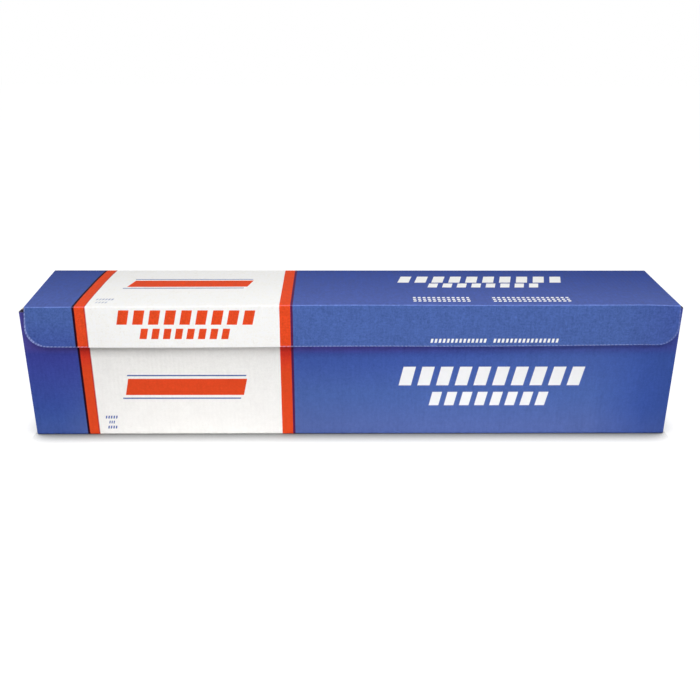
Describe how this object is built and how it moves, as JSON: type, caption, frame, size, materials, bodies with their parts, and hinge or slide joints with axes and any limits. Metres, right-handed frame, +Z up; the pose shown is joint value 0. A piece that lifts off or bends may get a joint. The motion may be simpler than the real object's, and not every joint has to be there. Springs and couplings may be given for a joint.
{
  "type": "aluminium foil roll",
  "caption": "Long corrugated carton with a hinged lid, a front flap and a serrated cutter strip, holding a roll of aluminium foil on a cardboard core.",
  "frame": {"origin": "middle of the carton's underside, on the surface that it stands on", "axes": "+X along the roll, to the right as the front is seen; +Y from the front wall to the hinge side; +Z up"},
  "size_m": [0.47, 0.088, 0.102],
  "materials": {
    "tray_board": "satin",
    "lid_board": "satin",
    "cutter_steel": "satin",
    "foil": "gloss",
    "core_paper": "matte"
  },
  "bodies": {
    "tray": {"carton_tray": "tray_board", "foil_roll": "foil", "core_tube": "core_paper"},
    "lid": {"carton_lid": "lid_board", "cutter_strip": "cutter_steel"}
  },
  "joints": [
    {"name": "lid_hinge", "type": "hinge", "parent": "tray", "child": "lid", "pos_m": [0, 0.0429, 0.10025], "axis": [-1, 0, 0], "range_deg": [0, 180]}
  ]
}
